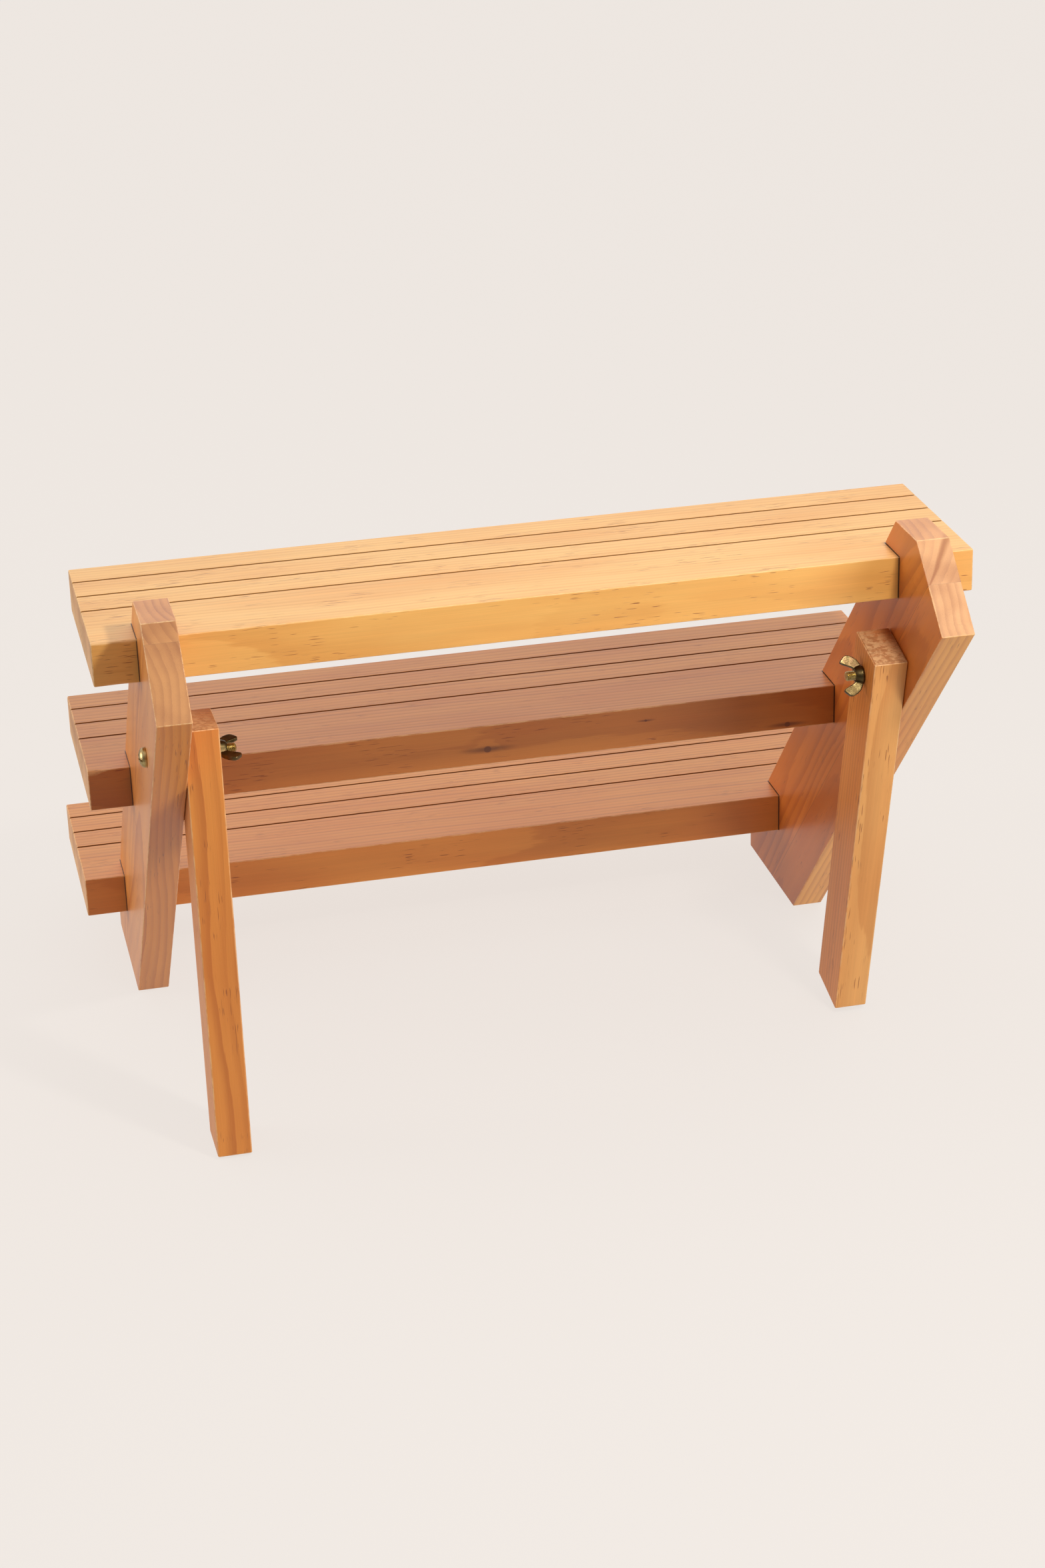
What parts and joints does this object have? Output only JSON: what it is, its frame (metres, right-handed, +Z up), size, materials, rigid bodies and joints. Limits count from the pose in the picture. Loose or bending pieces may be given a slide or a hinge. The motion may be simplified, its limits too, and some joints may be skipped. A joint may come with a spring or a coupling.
{
  "type": "tiered display rack",
  "caption": "Free-standing varnished wooden rack: slotted tiers notched into leaning side boards, propped by swinging rear legs clamped with wing nuts.",
  "frame": {"origin": "on the floor, at the middle of the footprint box of the rack", "axes": "+Z up, -Y towards the front (lowest tier), +X along the tiers to the right of someone standing in front"},
  "size_m": [0.52, 0.4342, 0.343],
  "materials": {
    "pine_top_tier": "clear satin varnish over pale honey pine",
    "pine_lower_tiers": "clear satin varnish over warm pinkish pine",
    "pine_boards": "clear satin varnish over edge-glued pine staves",
    "pine_legs": "clear satin varnish over orange pine",
    "beech_dowels": "bare sanded hardwood",
    "yellow_zinc": "bright yellow zinc plating"
  },
  "bodies": {
    "rack": {"slat_top": "pine_top_tier", "slat_middle": "pine_lower_tiers", "slat_bottom": "pine_lower_tiers", "side_board_left_front_stave": "pine_boards", "side_board_left_rear_stave": "pine_boards", "side_board_right_front_stave": "pine_boards", "side_board_right_rear_stave": "pine_boards", "bolt_left": "yellow_zinc", "bolt_right": "yellow_zinc", "dowel_top_left": "beech_dowels", "dowel_top_right": "beech_dowels", "dowel_middle_left": "beech_dowels", "dowel_middle_right": "beech_dowels", "dowel_bottom_left": "beech_dowels", "dowel_bottom_right": "beech_dowels"},
    "left_leg": {"leg_left": "pine_legs"},
    "right_leg": {"leg_right": "pine_legs"},
    "left_wing_nut": {"wing_nut_left": "yellow_zinc"},
    "right_wing_nut": {"wing_nut_right": "yellow_zinc"}
  },
  "joints": [
    {"name": "leg_left_swing", "type": "hinge", "parent": "rack", "child": "left_leg", "pos_m": [-0.2034, 0.14022, 0.2506], "axis": [-1, 0, 0], "range_deg": [-168, 33]},
    {"name": "leg_right_swing", "type": "hinge", "parent": "rack", "child": "right_leg", "pos_m": [0.2034, 0.14022, 0.2506], "axis": [-1, 0, 0], "range_deg": [-151, 50]},
    {"name": "wing_nut_left_turn", "type": "hinge", "parent": "rack", "child": "left_wing_nut", "pos_m": [-0.1931, 0.14022, 0.2506], "axis": [1, 0, 0], "continuous": true},
    {"name": "wing_nut_right_turn", "type": "hinge", "parent": "rack", "child": "right_wing_nut", "pos_m": [0.1931, 0.14022, 0.2506], "axis": [-1, 0, 0], "continuous": true}
  ]
}
